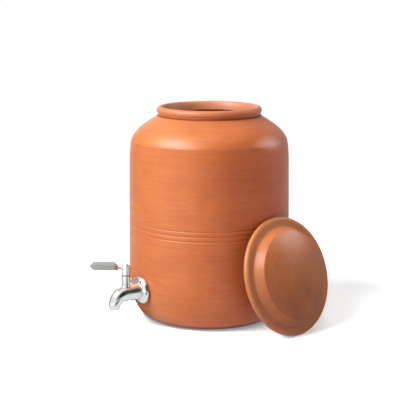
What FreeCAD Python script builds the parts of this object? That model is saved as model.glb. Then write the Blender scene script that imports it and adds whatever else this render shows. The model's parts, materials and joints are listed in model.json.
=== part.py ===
import FreeCAD
import Part
import math
import os

# Clay water pot with a quarter-turn steel tap and a loose clay lid.
# Millimetres. +Z is up, the origin is the centre of the pot's base, the tap faces -Y.
# The lid stands on the floor and leans on the pot's wall, on the +X side.

# ---------------------------------------------------------------- pot, turned clay
pot_height = 275.6            # base to the crest of the rim
foot_radius = 79.5            # flat ring that the pot stands on
belly_radius = 106.3          # widest, where the rounded foot meets the wall
foot_height = 54.0            # height of the rounded foot
wall_top_radius = 103.7       # top of the straight, slightly tapering wall
wall_top_height = 208.0
wall_lean_top = 9.0           # degrees that the wall leans in at the shoulder edge
shoulder_edge_radius = 101.4
shoulder_edge_height = 232.5
shoulder_angle_low = 21.0     # degrees off vertical, just above the shoulder edge
shoulder_angle_high = 37.5    # degrees below level, where the shoulder meets the neck
shoulder_pull_low = 17.6      # lengths of the shoulder curve's two end tangents
shoulder_pull_high = 14.3
neck_radius = 66.6            # outside of the neck, in the crease under the rim
neck_crease_height = 264.4
mouth_radius = 58.0
rim_bead_radius = 5.0
wall_thickness = 8.0
floor_thickness = 10.0
inner_foot_width = 24.0       # rounding between the inside wall and the floor
inner_foot_height = 44.0
throat_length = 6.1           # straight inside of the rim, down from the bead
groove_count = 3              # turned grooves around the belly
groove_top_height = 131.0
groove_pitch = 6.2
groove_half_width = 1.5
groove_depth = 0.6

# ---------------------------------------------------------------- lid, turned clay
lid_radius = 74.8
lid_edge_radius = 3.5         # full round of the flange's edge
lid_cove_radius = 63.0        # lowest line of the cove between flange and crown
lid_cove_height = 6.0
lid_band_foot_radius = 60.6
lid_band_foot_height = 8.6
lid_crown_edge_radius = 56.2  # soft edge between the steep band and the crown
lid_crown_edge_height = 18.5
lid_crown_height = 28.0
lid_flange_pull = 3.0         # lengths of the level tangents at both ends of the flange's top
lid_cove_pull = 1.4           # length of the level tangent where the cove turns up
lid_foot_tangent = (0.6, 1.2)   # inwards and up, through the foot of the band
lid_band_pull = 2.6           # tangent above the foot, as a multiple of the one below it
lid_brow_tangent = (1.0, 3.4)   # outwards and down from the crown's edge
lid_thickness = 6.5
lid_ring_clearance = 2.0      # between the locating ring and the throat
lid_ring_width = 5.0
lid_ring_depth = 4.0
lid_ring_corner = 1.2
lid_tilt = 17.6               # degrees that the leaning lid stands off vertical
lid_facing = 9.3              # direction that the lid's crown faces, from +X towards +Y
lid_bearing = 12.9            # direction of the lid's centre from the pot's axis
lean_clearance = 0.3          # between the leaning lid and the wall
floor_clearance = 0.02
lean_rounds = 20              # the leaning place is found in this many rounds
lean_steps = 720              # of this many points around the lid's edge

# ---------------------------------------------------------------- tap, place on the pot
tap_height = 46.3
tap_bearing = -90.0           # direction that the tap faces, from +X towards +Y
shank_radius = 8.0
hole_clearance = 0.5
outer_seat_depth = 2.9        # flat cut into the wall for the outer washer
inner_seat_depth = 0.4
seat_margin = 0.6             # seats are this much larger than their washers, in radius

# ---------------------------------------------------------------- tap, washers and nut
fit_clearance = 0.1           # radial, between the shank and what slides on it
outer_washer_radius = 14.5
outer_washer_thickness = 3.7
inner_washer_radius = 13.0
inner_washer_thickness = 3.0
steel_washer_radius = 12.0
steel_washer_thickness = 1.5
nut_across_flats = 22.0
nut_height = 8.0
nut_chamfer = 1.0
nut_chamfer_slope = 0.5       # rise of the chamfer over its run
shank_end_margin = 3.0        # shank that shows past the nut
shank_thread_pitch = 1.5
shank_thread_depth = 0.45
thread_flank_share = 0.35     # of the pitch, each sloping side of a ring
thread_crest_share = 0.15

# ---------------------------------------------------------------- tap, escutcheon
escutcheon_radius = 17.8
escutcheon_flat_radius = 12.4
escutcheon_height = 6.0
escutcheon_skin = 1.4
escutcheon_hub_radius = 10.6

# ---------------------------------------------------------------- tap, body
body_root_radius = 11.4       # outside radius at the escutcheon
body_bend_radius = 10.1       # outside radius where the bend starts
body_tip_radius = 6.7
spout_lip_round = 0.7
stem_offset = 15.8            # stem's axis, out from the escutcheon's face
bend_offset = 17.2            # start of the spout's bend, out from the escutcheon's face
bend_radius = 17.0
spout_drop = 1.5              # straight end of the spout, outside
outlet_depth = 5.0            # straight outlet, up the spout from its tip
bend_sections = 7
waterway_radius = 4.0         # through the shank and around the bend
outlet_radius = 5.0
boss_radius = 6.3
boss_height = 12.6            # top of the boss above the tap's axis
boss_root_round = 1.6         # where the boss leaves the tube

# ---------------------------------------------------------------- tap, valve
running_clearance = 0.08      # radial, between turning and fixed pieces
cavity_radius = 5.2
cavity_depth = 6.8            # below the tap's axis
sleeve_wall = 1.2
sleeve_top = 7.0              # above the tap's axis
valve_port_radius = 1.8
plug_end_clearance = 0.2
stem_radius = 2.9
square_size = 4.0             # driving square at the top of the stem
square_clearance = 0.05
seal_count = 2
seal_section_radius = 0.45
seal_first = 12.0             # lower O-ring, above the tap's axis
seal_spacing = 4.0
seal_clearance = 0.03
stop_width = 60.0             # degrees that the plug's stop lug spans
stop_height = 1.8
stop_slack = 1.5              # degrees left at each end of the travel
quarter_turn = 90.0
open_side_travel = 60.0       # degrees from the lever's stored place to full flow
bonnet_radius = 6.3
bonnet_height = 10.3
bonnet_edge = 0.25
thrust_washer_radius = 4.8
thrust_washer_thickness = 1.0
hub_float = 0.05              # between the hub and the thrust washer

# ---------------------------------------------------------------- tap, lever
hub_radius = 6.3
hub_height = 11.4
hub_edge = 0.35
level_tolerance = 0.01        # an edge that rises less than this lies level
lever_bearing = -118.6        # direction that the lever points, from +X towards +Y
lever_rise = 2.0              # degrees that the lever slopes up
lever_root_drop = 3.0         # lever's neck below the hub's top, at the hub's axis
neck_rod_radius = 2.4
neck_depth_in_hub = 2.6
socket_clearance = 0.02
grip_start = 10.2             # distances along the lever from the stem's axis
grip_shoulder = 14.2
grip_end = 41.4
grip_tip = 46.0
grip_width = 12.0
grip_depth = 8.6
grip_root_size = 5.8
grip_lift = 2.7               # grip's middle above the neck's axis
grip_tip_width = 2.0
grip_tip_depth = 1.4
grip_edge = 0.7
neck_depth_in_grip = 8.0
screw_head_radius = 4.2
screw_head_height = 3.0
screw_radius = 1.25
screw_length = 7.0
screw_clearance = 0.03
socket_key_radius = 1.1
socket_key_depth = 1.2

cut_margin = 1.0              # cutters run this far past the faces they cut

os.makedirs("parts", exist_ok=True)

V = FreeCAD.Vector
UP = V(0, 0, 1)
OUT = V(0, -1, 0)


# ---------------------------------------------------------------- small helpers
def rz(radius, height):
    return V(radius, 0, height)


def on_circle(radius, turn):
    # from the circle's centre, turn degrees up from straight outwards
    angle = math.radians(turn)
    return rz(radius * math.cos(angle), radius * math.sin(angle))


def line(a, b):
    return Part.makeLine(a, b)


def arc(a, middle, b):
    return Part.Arc(a, middle, b).toShape()


def bezier(points):
    curve = Part.BezierCurve()
    curve.setPoles(points)
    return curve.toShape()


def solid_of_turning(edges):
    face = Part.Face(Part.Wire(edges))
    return face.revolve(V(0, 0, 0), UP, 360)


def polyline_turned(points):
    closed = points + [points[0]]
    edges = [line(closed[i], closed[i + 1]) for i in range(len(points))]
    return solid_of_turning(edges)


def quarter_ellipse(centre, long_end, short_end):
    # exact quarter of an ellipse from long_end to short_end, as a weighted curve
    curve = Part.BezierCurve()
    curve.setPoles([long_end, long_end + short_end - centre, short_end])
    curve.setWeight(2, math.sqrt(0.5))
    return curve.toShape()


def save(shape, name):
    shape.exportStep("parts/" + name + ".step")


# ---------------------------------------------------------------- derived places
def wall_radius(height):
    share = (height - foot_height) / (wall_top_height - foot_height)
    return belly_radius + (wall_top_radius - belly_radius) * share


def foot_wall_radius(height):
    drop = (foot_height - height) / foot_height
    return foot_radius + (belly_radius - foot_radius) * math.sqrt(1 - drop * drop)


outside_at_tap = foot_wall_radius(tap_height)
inside_at_tap = belly_radius - wall_thickness
outer_seat = outside_at_tap - outer_seat_depth
inner_seat = inside_at_tap + inner_seat_depth
escutcheon_back = outer_seat + outer_washer_thickness
escutcheon_front = escutcheon_back + escutcheon_height
inner_washer_face = inner_seat - inner_washer_thickness
steel_washer_face = inner_washer_face - steel_washer_thickness
nut_face = steel_washer_face - nut_height
shank_end = nut_face - shank_end_margin
bend_start = escutcheon_front + bend_offset
stem_distance = escutcheon_front + stem_offset
spout_distance = bend_start + bend_radius
bend_centre_height = tap_height - bend_radius
spout_tip_height = bend_centre_height - spout_drop
STEM = V(0, -stem_distance, 0)
boss_top = tap_height + boss_height
bonnet_top = boss_top + bonnet_height
washer_top = bonnet_top + thrust_washer_thickness
hub_bottom = washer_top + hub_float
hub_top = hub_bottom + hub_height
cavity_bottom = tap_height - cavity_depth
sleeve_outer_radius = cavity_radius - fit_clearance
sleeve_inner_radius = sleeve_outer_radius - sleeve_wall
plug_radius = sleeve_inner_radius - running_clearance
plug_top = tap_height + sleeve_top - plug_end_clearance
stop_top = plug_top + stop_height
bonnet_bottom = tap_height + sleeve_top
stem_bore_radius = stem_radius + running_clearance
screw_seat = hub_top


def along_tap(distance, height=tap_height):
    return V(0, -distance, height)


def tap_cylinder(radius, start, end):
    # cylinder on the tap's axis, between two distances from the pot's axis
    return Part.makeCylinder(radius, end - start, along_tap(start), OUT)


def stem_cylinder(radius, bottom, top):
    return Part.makeCylinder(radius, top - bottom, V(0, -stem_distance, bottom), UP)


def onto_tap_axis(shape, distance):
    # stands a shape turned about Z on the tap's axis, its Z pointing outwards
    placed = shape.copy()
    placed.rotate(V(0, 0, 0), V(1, 0, 0), 90)
    placed.translate(along_tap(distance))
    return placed


# ---------------------------------------------------------------- pot
def shoulder_poles(start, end):
    low = math.radians(shoulder_angle_low)
    high = math.radians(shoulder_angle_high)
    second = start + rz(-math.sin(low), math.cos(low)) * shoulder_pull_low
    third = end + rz(math.cos(high), -math.sin(high)) * shoulder_pull_high
    return [start, second, third, end]


def wall_lean_poles(start, end):
    # upper wall: leaves the straight wall smoothly and leans in to the shoulder edge
    taper = V(wall_top_radius - belly_radius, 0, wall_top_height - foot_height)
    taper.normalize()
    lean = math.radians(wall_lean_top)
    reach = (end - start).Length / 3
    second = start + taper * reach
    third = end - rz(-math.sin(lean), math.cos(lean)) * reach
    return [start, second, third, end]


def grooved_wall_edges(start, end):
    # straight wall from start up to end, broken by the shallow round-bottomed grooves
    edges = []
    for i in reversed(range(groove_count)):
        height = groove_top_height - i * groove_pitch
        low = rz(wall_radius(height - groove_half_width), height - groove_half_width)
        high = rz(wall_radius(height + groove_half_width), height + groove_half_width)
        edges.append(line(start, low))
        edges.append(arc(low, rz(wall_radius(height) - groove_depth, height), high))
        start = high
    edges.append(line(start, end))
    return edges


def pot_outside_edges():
    bead_centre = rz(mouth_radius + rim_bead_radius, pot_height - rim_bead_radius)
    bead_start = -math.degrees(math.acos((neck_radius - bead_centre.x) / rim_bead_radius))
    foot_start = rz(foot_radius, 0)
    foot_end = rz(belly_radius, foot_height)
    wall_end = rz(wall_top_radius, wall_top_height)
    shoulder_start = rz(shoulder_edge_radius, shoulder_edge_height)
    crease = rz(neck_radius, neck_crease_height)
    bead_turns = (bead_start, bead_start / 2, 0, 90, 180)
    bead = [bead_centre + on_circle(rim_bead_radius, turn) for turn in bead_turns]
    edges = [quarter_ellipse(rz(foot_radius, foot_height), foot_start, foot_end)]
    edges.extend(grooved_wall_edges(foot_end, wall_end))
    edges.append(bezier(wall_lean_poles(wall_end, shoulder_start)))
    edges.append(bezier(shoulder_poles(shoulder_start, crease)))
    edges.append(line(crease, bead[0]))
    edges.append(arc(bead[0], bead[1], bead[2]))
    edges.append(arc(bead[2], bead[3], bead[4]))
    return edges


def pot_inside_edges():
    throat_top = rz(mouth_radius, pot_height - rim_bead_radius)
    throat_bottom = throat_top - rz(0, throat_length)
    shoulder_inside = rz(shoulder_edge_radius - wall_thickness, shoulder_edge_height)
    wall_inside_top = rz(wall_top_radius - wall_thickness, wall_top_height)
    wall_inside_foot = rz(belly_radius - wall_thickness, floor_thickness + inner_foot_height)
    corner_centre = wall_inside_foot - rz(inner_foot_width, 0)
    floor_edge = rz(wall_inside_foot.x - inner_foot_width, floor_thickness)
    shoulder = shoulder_poles(shoulder_inside, throat_bottom)
    lean = wall_lean_poles(wall_inside_top, shoulder_inside)
    edges = [line(throat_top, throat_bottom)]
    edges.append(bezier(shoulder[::-1]))
    edges.append(bezier(lean[::-1]))
    edges.append(line(wall_inside_top, wall_inside_foot))
    edges.append(quarter_ellipse(corner_centre, wall_inside_foot, floor_edge))
    edges.append(line(floor_edge, rz(0, floor_thickness)))
    return edges


def make_pot():
    edges = pot_outside_edges() + pot_inside_edges()
    edges.append(line(rz(0, floor_thickness), rz(0, 0)))
    edges.append(line(rz(0, 0), rz(foot_radius, 0)))
    pot = solid_of_turning(edges)
    pot = pot.cut(tap_cylinder(outer_washer_radius + seat_margin, outer_seat, outer_seat + wall_thickness))
    pot = pot.cut(tap_cylinder(inner_washer_radius + seat_margin, shank_end, inner_seat))
    pot = pot.cut(tap_cylinder(shank_radius + hole_clearance, shank_end, escutcheon_back))
    return pot


# ---------------------------------------------------------------- lid
def make_lid_level():
    # the lid lying level, its flange's underside at height 0
    edge_centre = rz(lid_radius - lid_edge_radius, lid_edge_radius)
    under_edge = edge_centre - rz(0, lid_edge_radius)
    outer_edge = edge_centre + rz(lid_edge_radius, 0)
    upper_edge = edge_centre + rz(0, lid_edge_radius)
    cove = rz(lid_cove_radius, lid_cove_height)
    band_foot = rz(lid_band_foot_radius, lid_band_foot_height)
    crown_edge = rz(lid_crown_edge_radius, lid_crown_edge_height)
    crown_rise = lid_crown_height - lid_crown_edge_height
    crown_round = (lid_crown_edge_radius ** 2 + crown_rise ** 2) / (2 * crown_rise)
    crown_middle_radius = lid_crown_edge_radius / 2
    crown_sag = crown_round - math.sqrt(crown_round ** 2 - crown_middle_radius ** 2)
    crown_middle = rz(crown_middle_radius, lid_crown_height - crown_sag)
    crown_top = rz(0, lid_crown_height)
    ring_outer = mouth_radius - lid_ring_clearance
    ring_inner = ring_outer - lid_ring_width
    hollow_edge = rz(ring_inner, lid_edge_radius)
    hollow_side = rz(ring_inner - lid_ring_corner, lid_crown_edge_height - lid_thickness)
    hollow_round = crown_round - lid_thickness
    hollow_middle_radius = hollow_side.x / 2
    hollow_top = lid_crown_height - lid_thickness
    hollow_sag = hollow_round - math.sqrt(hollow_round ** 2 - hollow_middle_radius ** 2)
    hollow_middle = rz(hollow_middle_radius, hollow_top - hollow_sag)
    bottom = -lid_ring_depth

    edges = [arc(under_edge, outer_edge, upper_edge)]
    pull = rz(lid_flange_pull, 0)
    foot_tangent = rz(-lid_foot_tangent[0], lid_foot_tangent[1])
    brow_tangent = rz(lid_brow_tangent[0], -lid_brow_tangent[1])
    edges.append(bezier([upper_edge, upper_edge - pull, cove + pull, cove]))
    edges.append(bezier([cove, cove - rz(lid_cove_pull, 0), band_foot - foot_tangent, band_foot]))
    band = [band_foot, band_foot + foot_tangent * lid_band_pull, crown_edge + brow_tangent, crown_edge]
    edges.append(bezier(band))
    edges.append(arc(crown_edge, crown_middle, crown_top))
    edges.append(line(crown_top, rz(0, hollow_top)))
    edges.append(arc(rz(0, hollow_top), hollow_middle, hollow_side))
    edges.append(line(hollow_side, hollow_edge))
    edges.append(line(hollow_edge, rz(ring_inner, bottom)))
    edges.append(line(rz(ring_inner, bottom), rz(ring_outer - lid_ring_corner, bottom)))
    edges.append(line(rz(ring_outer - lid_ring_corner, bottom), rz(ring_outer, bottom + lid_ring_corner)))
    edges.append(line(rz(ring_outer, bottom + lid_ring_corner), rz(ring_outer, 0)))
    edges.append(line(rz(ring_outer, 0), under_edge))
    return solid_of_turning(edges)


def lean_distance():
    # distance of the edge circle's centre from the pot's axis at which the edge meets the wall
    ring = lid_radius - lid_edge_radius
    tilt = math.radians(lid_tilt)
    skew = math.radians(lid_bearing - lid_facing)
    standing = ring * math.cos(tilt) + lid_edge_radius + floor_clearance
    reach = lid_edge_radius + lean_clearance
    distance = belly_radius + ring
    for _ in range(lean_rounds):
        nearest = distance
        for step in range(lean_steps):
            turn = 2 * math.pi * step / lean_steps
            outwards = distance * math.cos(skew) - ring * math.sin(turn) * math.sin(tilt)
            sideways = distance * math.sin(skew) + ring * math.cos(turn)
            height = standing + ring * math.sin(turn) * math.cos(tilt)
            gap = math.hypot(outwards, sideways) - wall_radius(height) - reach
            nearest = min(nearest, gap)
        distance = distance - nearest
    return distance


def lean_lid(level):
    ring = lid_radius - lid_edge_radius
    tilt = math.radians(lid_tilt)
    bearing = math.radians(lid_bearing)
    distance = lean_distance()
    height = ring * math.cos(tilt) + lid_edge_radius + floor_clearance
    leaning = level.copy()
    leaning.translate(V(0, 0, -lid_edge_radius))
    leaning.rotate(V(0, 0, 0), V(0, 1, 0), 90 - lid_tilt)
    leaning.rotate(V(0, 0, 0), UP, lid_facing)
    leaning.translate(V(distance * math.cos(bearing), distance * math.sin(bearing), height))
    return leaning


# ---------------------------------------------------------------- washers, nut, escutcheon
def ring_on_shank(radius, start, end):
    ring = tap_cylinder(radius, start, end)
    return ring.cut(tap_cylinder(shank_radius + fit_clearance, start - cut_margin, end + cut_margin))


def make_nut():
    corner_radius = nut_across_flats / math.sqrt(3)
    corners = []
    for i in range(7):
        angle = math.radians(60 * i)
        corners.append(V(corner_radius * math.cos(angle), corner_radius * math.sin(angle), 0))
    prism = Part.Face(Part.makePolygon(corners)).extrude(V(0, 0, nut_height))
    flat = nut_across_flats / 2
    slope_end = corner_radius + nut_chamfer
    rise = (slope_end - flat) * nut_chamfer_slope
    envelope = polyline_turned([
        rz(0, 0), rz(flat, 0), rz(slope_end, rise), rz(slope_end, nut_height - rise),
        rz(flat, nut_height), rz(0, nut_height)])
    nut = onto_tap_axis(prism.common(envelope), nut_face)
    bore = tap_cylinder(shank_radius + fit_clearance, nut_face - cut_margin, steel_washer_face + cut_margin)
    return nut.cut(bore)


def make_escutcheon():
    bore = shank_radius + fit_clearance
    rim_outer = rz(escutcheon_radius, 0)
    flat_outer = rz(escutcheon_flat_radius, escutcheon_height)
    rim_inner = rz(escutcheon_radius - escutcheon_skin, 0)
    ceiling = escutcheon_height - escutcheon_skin
    hollow_outer = rz(escutcheon_flat_radius, ceiling)
    edges = [quarter_ellipse(rz(escutcheon_flat_radius, 0), rim_outer, flat_outer)]
    edges.append(line(flat_outer, rz(bore, escutcheon_height)))
    edges.append(line(rz(bore, escutcheon_height), rz(bore, 0)))
    edges.append(line(rz(bore, 0), rz(escutcheon_hub_radius, 0)))
    edges.append(line(rz(escutcheon_hub_radius, 0), rz(escutcheon_hub_radius, ceiling)))
    edges.append(line(rz(escutcheon_hub_radius, ceiling), hollow_outer))
    edges.append(quarter_ellipse(rz(escutcheon_flat_radius, 0), hollow_outer, rim_inner))
    edges.append(line(rim_inner, rim_outer))
    return onto_tap_axis(solid_of_turning(edges), escutcheon_back)


# ---------------------------------------------------------------- tap body
def circle_wire(centre, droop, radius):
    # circle across the waterway, whose way out points droop degrees below level
    wire = Part.Wire(Part.makeCircle(radius))
    wire.rotate(V(0, 0, 0), V(1, 0, 0), 90 + droop)
    wire.translate(centre)
    return wire


def body_outside():
    # level tube that narrows smoothly, then the bend as a loft, then the straight drop
    length = bend_offset
    profile = [bezier([
        rz(body_root_radius, 0), rz(body_root_radius, length / 3), rz(body_bend_radius, 2 * length / 3),
        rz(body_bend_radius, length)])]
    profile.append(line(rz(body_bend_radius, length), rz(0, length)))
    profile.append(line(rz(0, length), rz(0, 0)))
    profile.append(line(rz(0, 0), rz(body_root_radius, 0)))
    level = onto_tap_axis(solid_of_turning(profile), escutcheon_front)
    wires = []
    for i in range(bend_sections + 1):
        droop = 90 * i / bend_sections
        angle = math.radians(droop)
        out = bend_start + bend_radius * math.sin(angle)
        centre = along_tap(out, bend_centre_height + bend_radius * math.cos(angle))
        radius = body_tip_radius + (body_bend_radius - body_tip_radius) * math.cos(angle)
        wires.append(circle_wire(centre, droop, radius))
    bend = Part.makeLoft(wires, True, False)
    drop = Part.makeCylinder(body_tip_radius, spout_drop, along_tap(spout_distance, spout_tip_height), UP)
    lip = [e for e in drop.Edges if e.BoundBox.ZMax < spout_tip_height + spout_drop / 2]
    return level.fuse([bend, drop.makeFillet(spout_lip_round, lip)])


def outlet_cutter():
    start = Part.Face(circle_wire(along_tap(bend_start), 0, waterway_radius))
    bend = start.revolve(V(0, -bend_start, bend_centre_height), V(1, 0, 0), 90)
    level = tap_cylinder(waterway_radius, stem_distance, bend_start)
    tip_centre = along_tap(spout_distance, spout_tip_height - cut_margin)
    drop = Part.makeCylinder(outlet_radius, outlet_depth + cut_margin, tip_centre, UP)
    return level.fuse([bend, drop])


def shank():
    # threaded tail through the wall: rings stand for the thread
    root = shank_radius - shank_thread_depth
    core = tap_cylinder(root, shank_end, escutcheon_front + cut_margin)
    plain = tap_cylinder(shank_radius, inner_seat, escutcheon_front)
    crest_start = shank_thread_pitch * thread_flank_share
    crest_end = crest_start + shank_thread_pitch * thread_crest_share
    ring_end = crest_end + crest_start
    ring = polyline_turned([
        rz(0, 0), rz(root, 0), rz(shank_radius, crest_start), rz(shank_radius, crest_end),
        rz(root, ring_end), rz(0, ring_end)])
    rings = []
    turns = int((inner_seat - shank_end) / shank_thread_pitch)
    for i in range(turns):
        rings.append(onto_tap_axis(ring, shank_end + (i + 0.5) * shank_thread_pitch))
    return core.fuse([plain] + rings)


def boss_seam(body):
    # the edges on the boss's wall that are neither level nor upright: there it leaves the tube
    seam = []
    for edge in body.Edges:
        middle = edge.valueAt((edge.FirstParameter + edge.LastParameter) / 2) - STEM
        on_wall = abs(math.hypot(middle.x, middle.y) - boss_radius) < level_tolerance
        box = edge.BoundBox
        if on_wall and min(box.XLength, box.ZLength) > level_tolerance:
            seam.append(edge)
    return seam


def make_tap_body():
    body = body_outside().fuse(stem_cylinder(boss_radius, tap_height, boss_top))
    body = body.makeFillet(boss_root_round, boss_seam(body))
    body = body.fuse(shank())
    body = body.cut(outlet_cutter())
    body = body.cut(tap_cylinder(waterway_radius, shank_end - cut_margin, stem_distance))
    body = body.cut(stem_cylinder(cavity_radius, cavity_bottom, boss_top + cut_margin))
    return body


# ---------------------------------------------------------------- valve
def port_cutter(direction, reach):
    start = STEM + UP * tap_height - direction * reach
    return Part.makeCylinder(valve_port_radius, 2 * reach, start, direction)


def make_sleeve():
    bottom = cavity_bottom
    sleeve = stem_cylinder(sleeve_outer_radius, bottom, tap_height + sleeve_top)
    bore = stem_cylinder(sleeve_inner_radius, bottom - cut_margin, tap_height + sleeve_top + cut_margin)
    return sleeve.cut(bore).cut(port_cutter(OUT, cavity_radius + cut_margin))


def sector(inner, outer, bottom, top, start, end):
    # part of a ring about the stem's axis, from one bearing to another
    section = Part.makePolygon([
        V(inner, 0, bottom), V(outer, 0, bottom), V(outer, 0, top), V(inner, 0, top), V(inner, 0, bottom)])
    piece = Part.Face(section).revolve(V(0, 0, 0), UP, end - start)
    piece.rotate(V(0, 0, 0), UP, start)
    piece.translate(STEM)
    return piece


def bearing_direction(bearing):
    angle = math.radians(bearing)
    return V(math.cos(angle), math.sin(angle), 0)


# the plug's port lies along the tap's axis when the lever has turned by open_side_travel
port_bearing_stored = tap_bearing + open_side_travel
stop_bearing_stored = lever_bearing + 180.0


def make_plug():
    bottom = cavity_bottom + plug_end_clearance
    plug = stem_cylinder(plug_radius, bottom, plug_top)
    stem = stem_cylinder(stem_radius, plug_top - cut_margin, hub_bottom)
    lug = sector(stem_radius - cut_margin, plug_radius, plug_top - cut_margin, stop_top,
                 stop_bearing_stored - stop_width / 2, stop_bearing_stored + stop_width / 2)
    half = square_size / 2
    square = Part.makeBox(square_size, square_size, hub_height, V(-half, -half, 0))
    square.rotate(V(0, 0, 0), UP, lever_bearing)
    square.translate(STEM + UP * (hub_bottom - cut_margin))
    plug = plug.fuse([stem, lug, square])
    plug = plug.cut(port_cutter(bearing_direction(port_bearing_stored), plug_radius + cut_margin))
    groove = stem_radius - 2 * seal_section_radius
    for i in range(seal_count):
        middle = tap_height + seal_first + i * seal_spacing
        width = seal_section_radius + 2 * seal_clearance
        ring = stem_cylinder(stem_radius + cut_margin, middle - width, middle + width)
        plug = plug.cut(ring.cut(stem_cylinder(groove, middle - width, middle + width)))
    hole_radius = screw_radius + screw_clearance
    return plug.cut(stem_cylinder(hole_radius, screw_seat - screw_length - cut_margin, hub_top + cut_margin))


def make_seals():
    rings = []
    middle_radius = stem_radius - seal_section_radius + seal_clearance
    for i in range(seal_count):
        height = tap_height + seal_first + i * seal_spacing
        rings.append(Part.makeTorus(middle_radius, seal_section_radius, STEM + UP * height, UP))
    return Part.makeCompound(rings)


def make_bonnet():
    spigot = stem_cylinder(cavity_radius - fit_clearance, bonnet_bottom, boss_top)
    collar = stem_cylinder(bonnet_radius, boss_top, bonnet_top)
    rims = [e for e in collar.Edges if e.BoundBox.ZLength < level_tolerance]
    bonnet = spigot.fuse(collar.makeChamfer(bonnet_edge, rims))
    bonnet = bonnet.cut(stem_cylinder(stem_bore_radius, bonnet_bottom - cut_margin, bonnet_top + cut_margin))
    # the lug's track: a quarter turn and the lug's own width, with a little slack
    swing = stop_width / 2 + stop_slack
    track_start = stop_bearing_stored - open_side_travel - swing
    track_end = stop_bearing_stored + quarter_turn - open_side_travel + swing
    track = sector(stem_radius - running_clearance, sleeve_inner_radius, bonnet_bottom - cut_margin,
                   stop_top + running_clearance, track_start, track_end)
    return bonnet.cut(track)


def make_thrust_washer():
    washer = stem_cylinder(thrust_washer_radius, bonnet_top, washer_top)
    return washer.cut(stem_cylinder(stem_bore_radius, bonnet_top - cut_margin, washer_top + cut_margin))


# ---------------------------------------------------------------- lever
def lever_place(shape):
    # takes a shape made along +X, about the lever's own axis, to its stored place
    placed = shape.copy()
    placed.rotate(V(0, 0, 0), V(0, 1, 0), -lever_rise)
    placed.rotate(V(0, 0, 0), UP, lever_bearing)
    placed.translate(STEM + UP * (hub_top - lever_root_drop))
    return placed


def neck_rod(radius, start, end):
    return lever_place(Part.makeCylinder(radius, end - start, V(start, 0, 0), V(1, 0, 0)))


def rectangle(distance, width, depth, lift):
    y = width / 2
    low = lift - depth / 2
    high = lift + depth / 2
    first = V(distance, -y, low)
    return Part.makePolygon([first, V(distance, y, low), V(distance, y, high), V(distance, -y, high), first])


def make_hub():
    hub = stem_cylinder(hub_radius, hub_bottom, hub_top)
    rims = [e for e in hub.Edges if e.BoundBox.ZLength < level_tolerance]
    hub = hub.makeChamfer(hub_edge, rims)
    size = square_size + 2 * square_clearance
    square = Part.makeBox(size, size, hub_height + 2 * cut_margin, V(-size / 2, -size / 2, 0))
    square.rotate(V(0, 0, 0), UP, lever_bearing)
    square.translate(STEM + UP * (hub_bottom - cut_margin))
    hub = hub.cut(square)
    socket_start = hub_radius - neck_depth_in_hub
    return hub.cut(neck_rod(neck_rod_radius + socket_clearance, socket_start, hub_radius + cut_margin))


def make_neck():
    start = hub_radius - neck_depth_in_hub + socket_clearance
    return neck_rod(neck_rod_radius, start, grip_start + neck_depth_in_grip)


def make_grip():
    sections = [rectangle(grip_start, grip_root_size, grip_root_size, 0)]
    sections.append(rectangle(grip_shoulder, grip_width, grip_depth, grip_lift))
    sections.append(rectangle(grip_end, grip_width, grip_depth, grip_lift))
    sections.append(rectangle(grip_tip, grip_tip_width, grip_tip_depth, grip_lift))
    bar = Part.makeLoft(sections, True, True)
    long_edges = [e for e in bar.Edges if e.BoundBox.XLength > grip_end - grip_shoulder - cut_margin]
    bar = bar.makeChamfer(grip_edge, long_edges)
    socket_end = grip_start + neck_depth_in_grip + socket_clearance
    socket = Part.makeCylinder(neck_rod_radius + socket_clearance, socket_end - grip_start + cut_margin,
                               V(grip_start - cut_margin, 0, 0), V(1, 0, 0))
    return lever_place(bar.cut(socket))


def make_cap_screw():
    head_round = (screw_head_radius ** 2 + screw_head_height ** 2) / (2 * screw_head_height)
    middle_radius = screw_head_radius / 2
    sag = head_round - math.sqrt(head_round ** 2 - middle_radius ** 2)
    edges = [line(rz(0, -screw_length), rz(screw_radius, -screw_length))]
    edges.append(line(rz(screw_radius, -screw_length), rz(screw_radius, 0)))
    edges.append(line(rz(screw_radius, 0), rz(screw_head_radius, 0)))
    head_top = rz(0, screw_head_height)
    edges.append(arc(rz(screw_head_radius, 0), rz(middle_radius, screw_head_height - sag), head_top))
    edges.append(line(rz(0, screw_head_height), rz(0, -screw_length)))
    screw = solid_of_turning(edges)
    corners = []
    for i in range(7):
        angle = math.radians(60 * i)
        corners.append(V(socket_key_radius * math.cos(angle), socket_key_radius * math.sin(angle), 0))
    key = Part.Face(Part.makePolygon(corners)).extrude(V(0, 0, socket_key_depth + cut_margin))
    key.translate(UP * (screw_head_height - socket_key_depth))
    screw = screw.cut(key)
    screw.translate(STEM + UP * screw_seat)
    return screw


# ---------------------------------------------------------------- all pieces
save(make_pot(), "pot")
save(lean_lid(make_lid_level()), "lid")
save(make_tap_body(), "tap_body")
save(make_escutcheon(), "escutcheon")
save(ring_on_shank(outer_washer_radius, outer_seat, escutcheon_back), "outer_washer")
save(ring_on_shank(inner_washer_radius, inner_washer_face, inner_seat), "inner_washer")
save(ring_on_shank(steel_washer_radius, steel_washer_face, inner_washer_face), "steel_washer")
save(make_nut(), "lock_nut")
save(make_sleeve(), "valve_sleeve")
save(make_plug(), "valve_plug")
save(make_seals(), "stem_seals")
save(make_bonnet(), "bonnet")
save(make_thrust_washer(), "thrust_washer")
save(make_hub(), "lever_hub")
save(make_neck(), "lever_neck")
save(make_grip(), "lever_grip")
save(make_cap_screw(), "cap_screw")
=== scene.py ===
import json
import math
import random

import bpy
import numpy as np
from mathutils import Matrix, Vector


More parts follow.
